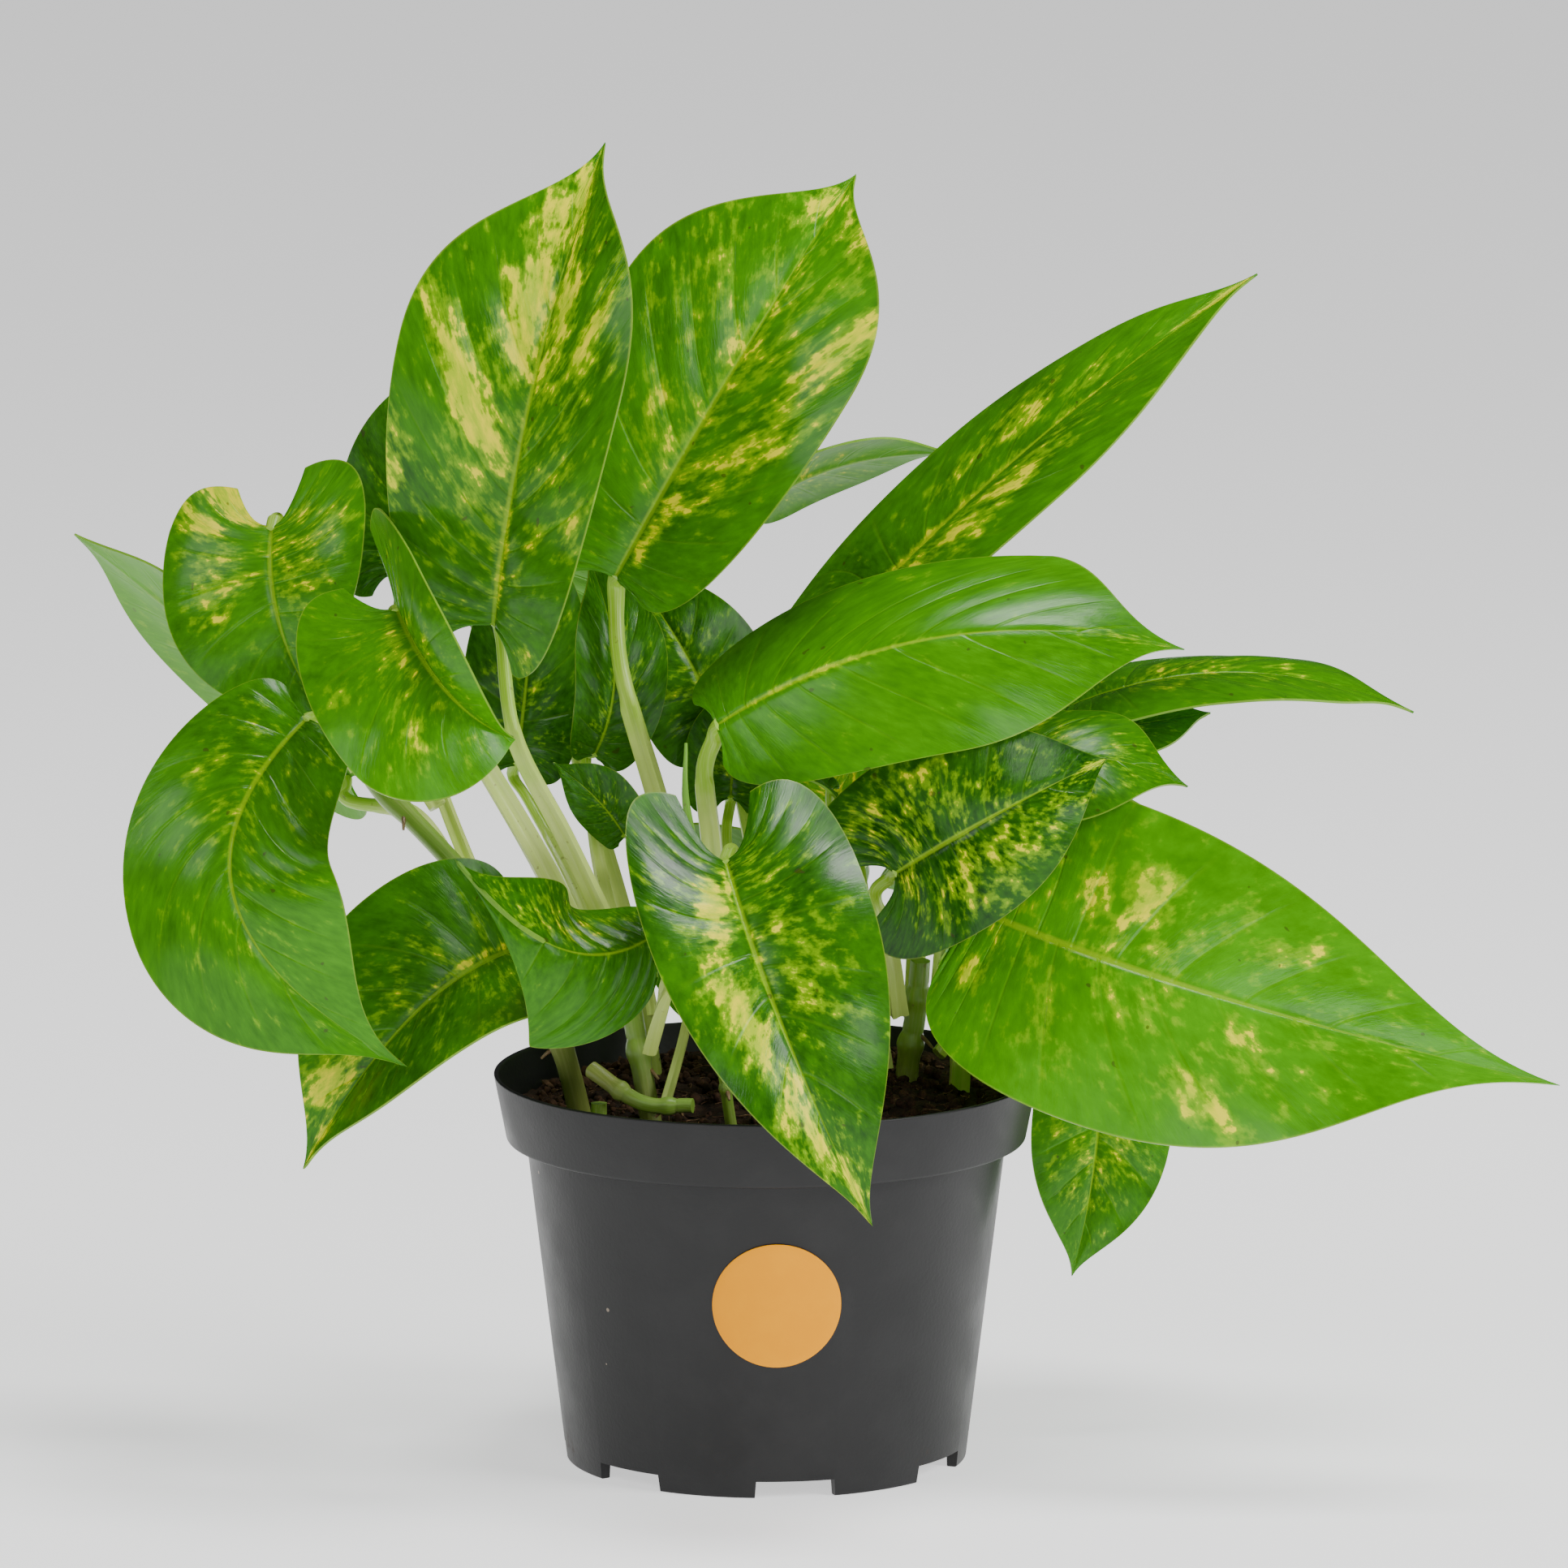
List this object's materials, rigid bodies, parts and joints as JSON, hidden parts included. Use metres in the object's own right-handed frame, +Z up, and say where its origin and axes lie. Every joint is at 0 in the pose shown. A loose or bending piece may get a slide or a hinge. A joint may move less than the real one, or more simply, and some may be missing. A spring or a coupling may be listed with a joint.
{
  "type": "potted pothos plant",
  "caption": "Trailing golden pothos with heart-shaped variegated green and yellow leaves on long stalks, growing in a plain round charcoal plastic nursery pot.",
  "frame": {"origin": "centre of the pot's foot, on the surface that it stands on", "axes": "+Z up the pot's axis, -Y towards the front of the plant (the side with the sticker), +X to the right seen from the front"},
  "size_m": [0.4112, 0.2229, 0.3712],
  "materials": {
    "pot_plastic": "satin",
    "potting_mix": "matte",
    "sticker_paper": "satin",
    "vine_green": "satin",
    "leaf_green": "satin"
  },
  "bodies": {
    "root": {"pot": "pot_plastic", "soil": "potting_mix", "sticker": "sticker_paper", "vine_front": "vine_green", "vine_centre": "vine_green", "vine_right": "vine_green", "vine_left": "vine_green", "vine_back": "vine_green", "stub_left": "vine_green", "stub_middle": "vine_green", "stub_right": "vine_green", "lying_stem": "vine_green", "shoot": "vine_green", "leaf_tall_left": "leaf_green", "leaf_tall_right": "leaf_green", "leaf_long_right": "leaf_green", "leaf_saddle": "leaf_green", "leaf_far_right": "leaf_green", "leaf_under_right": "leaf_green", "leaf_behind_speckled": "leaf_green", "leaf_speckled": "leaf_green", "leaf_large_right": "leaf_green", "leaf_front_heart": "leaf_green", "leaf_hanging_right": "leaf_green", "leaf_two_lobed": "leaf_green", "leaf_folded_left": "leaf_green", "leaf_far_left": "leaf_green", "leaf_drooping": "leaf_green", "leaf_low_left": "leaf_green", "leaf_flap": "leaf_green", "leaf_small_front": "leaf_green", "leaf_dark_back_left": "leaf_green", "leaf_dark_centre_left": "leaf_green", "leaf_upright_centre": "leaf_green", "leaf_dark_centre": "leaf_green", "leaf_dark_round": "leaf_green", "leaf_small_left": "leaf_green", "leaf_edge_on": "leaf_green", "leaf_backlit": "leaf_green", "leaf_tiny": "leaf_green", "leaf_back_low": "leaf_green", "leaf_back_right": "leaf_green", "leaf_back_tall": "leaf_green", "leaf_back_middle": "leaf_green"}
  },
  "joints": []
}
